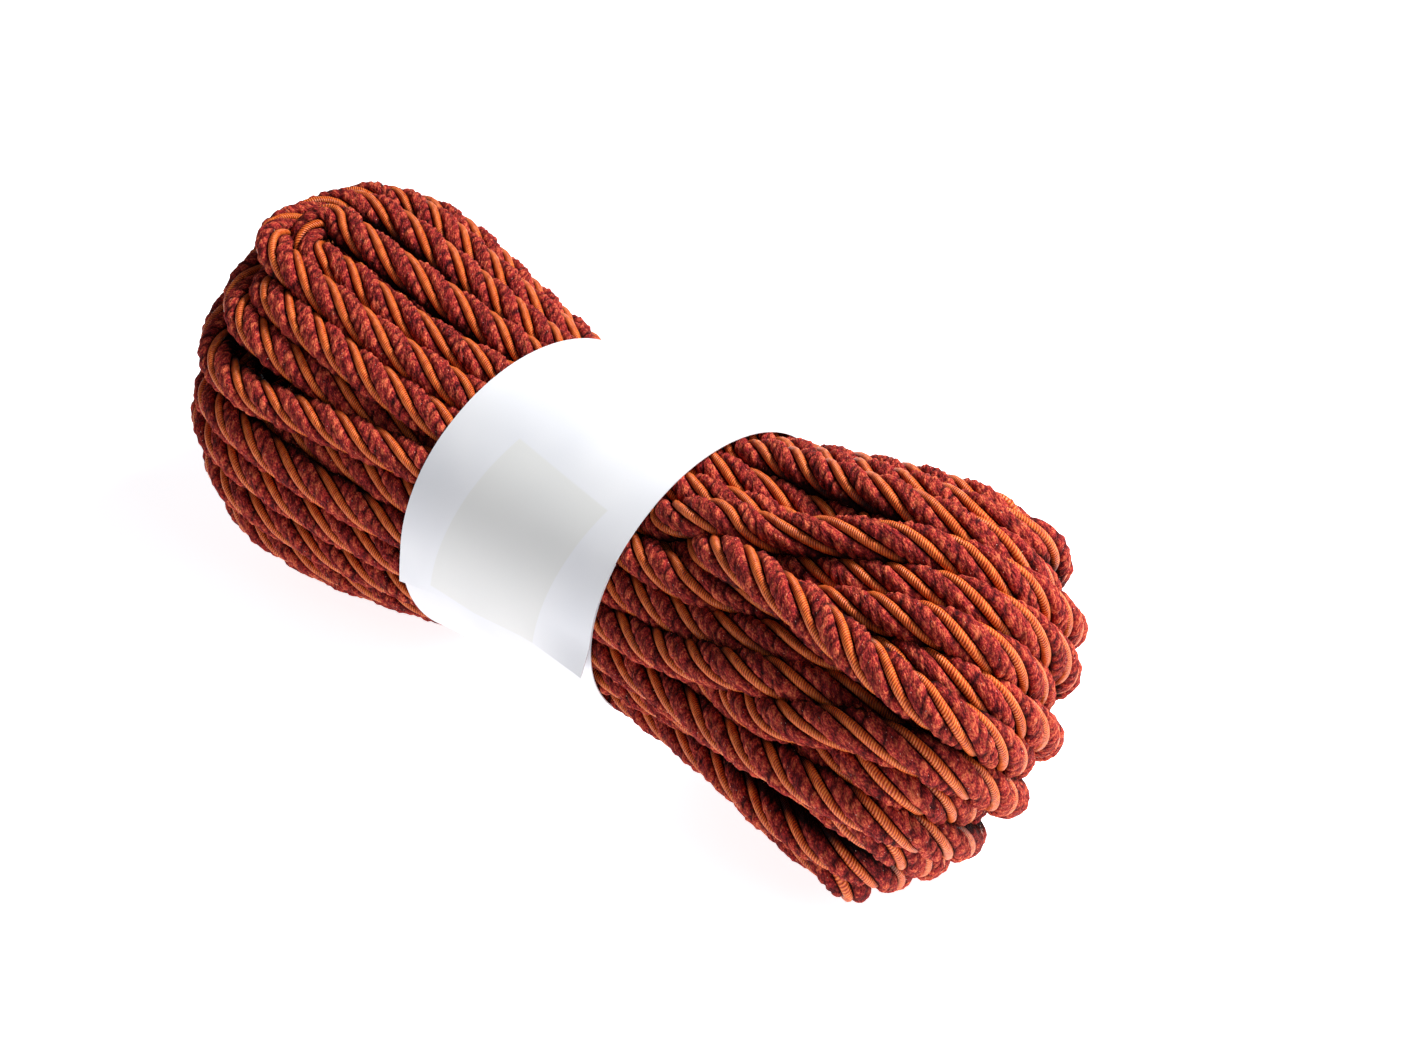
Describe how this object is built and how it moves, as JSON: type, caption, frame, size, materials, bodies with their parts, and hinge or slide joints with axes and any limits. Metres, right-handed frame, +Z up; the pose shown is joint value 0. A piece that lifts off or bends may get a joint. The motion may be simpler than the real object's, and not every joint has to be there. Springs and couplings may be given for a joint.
{
  "type": "hank of twisted decorative cord with a paper band",
  "caption": "Hank of thick twisted furnishing cord in long turns, fanned out at both ends and drawn in at the waist by a plain paper band.",
  "frame": {"origin": "on the surface the hank lies on, under the middle of its box", "axes": "+X along the hank towards the end its band narrows to, +Z up"},
  "size_m": [0.2514, 0.102, 0.0982],
  "materials": {
    "cord": "knobbly chenille plies with silky gimp",
    "band": "smooth coated paper"
  },
  "bodies": {
    "root": {"hank": "cord", "band": "band"}
  },
  "joints": []
}
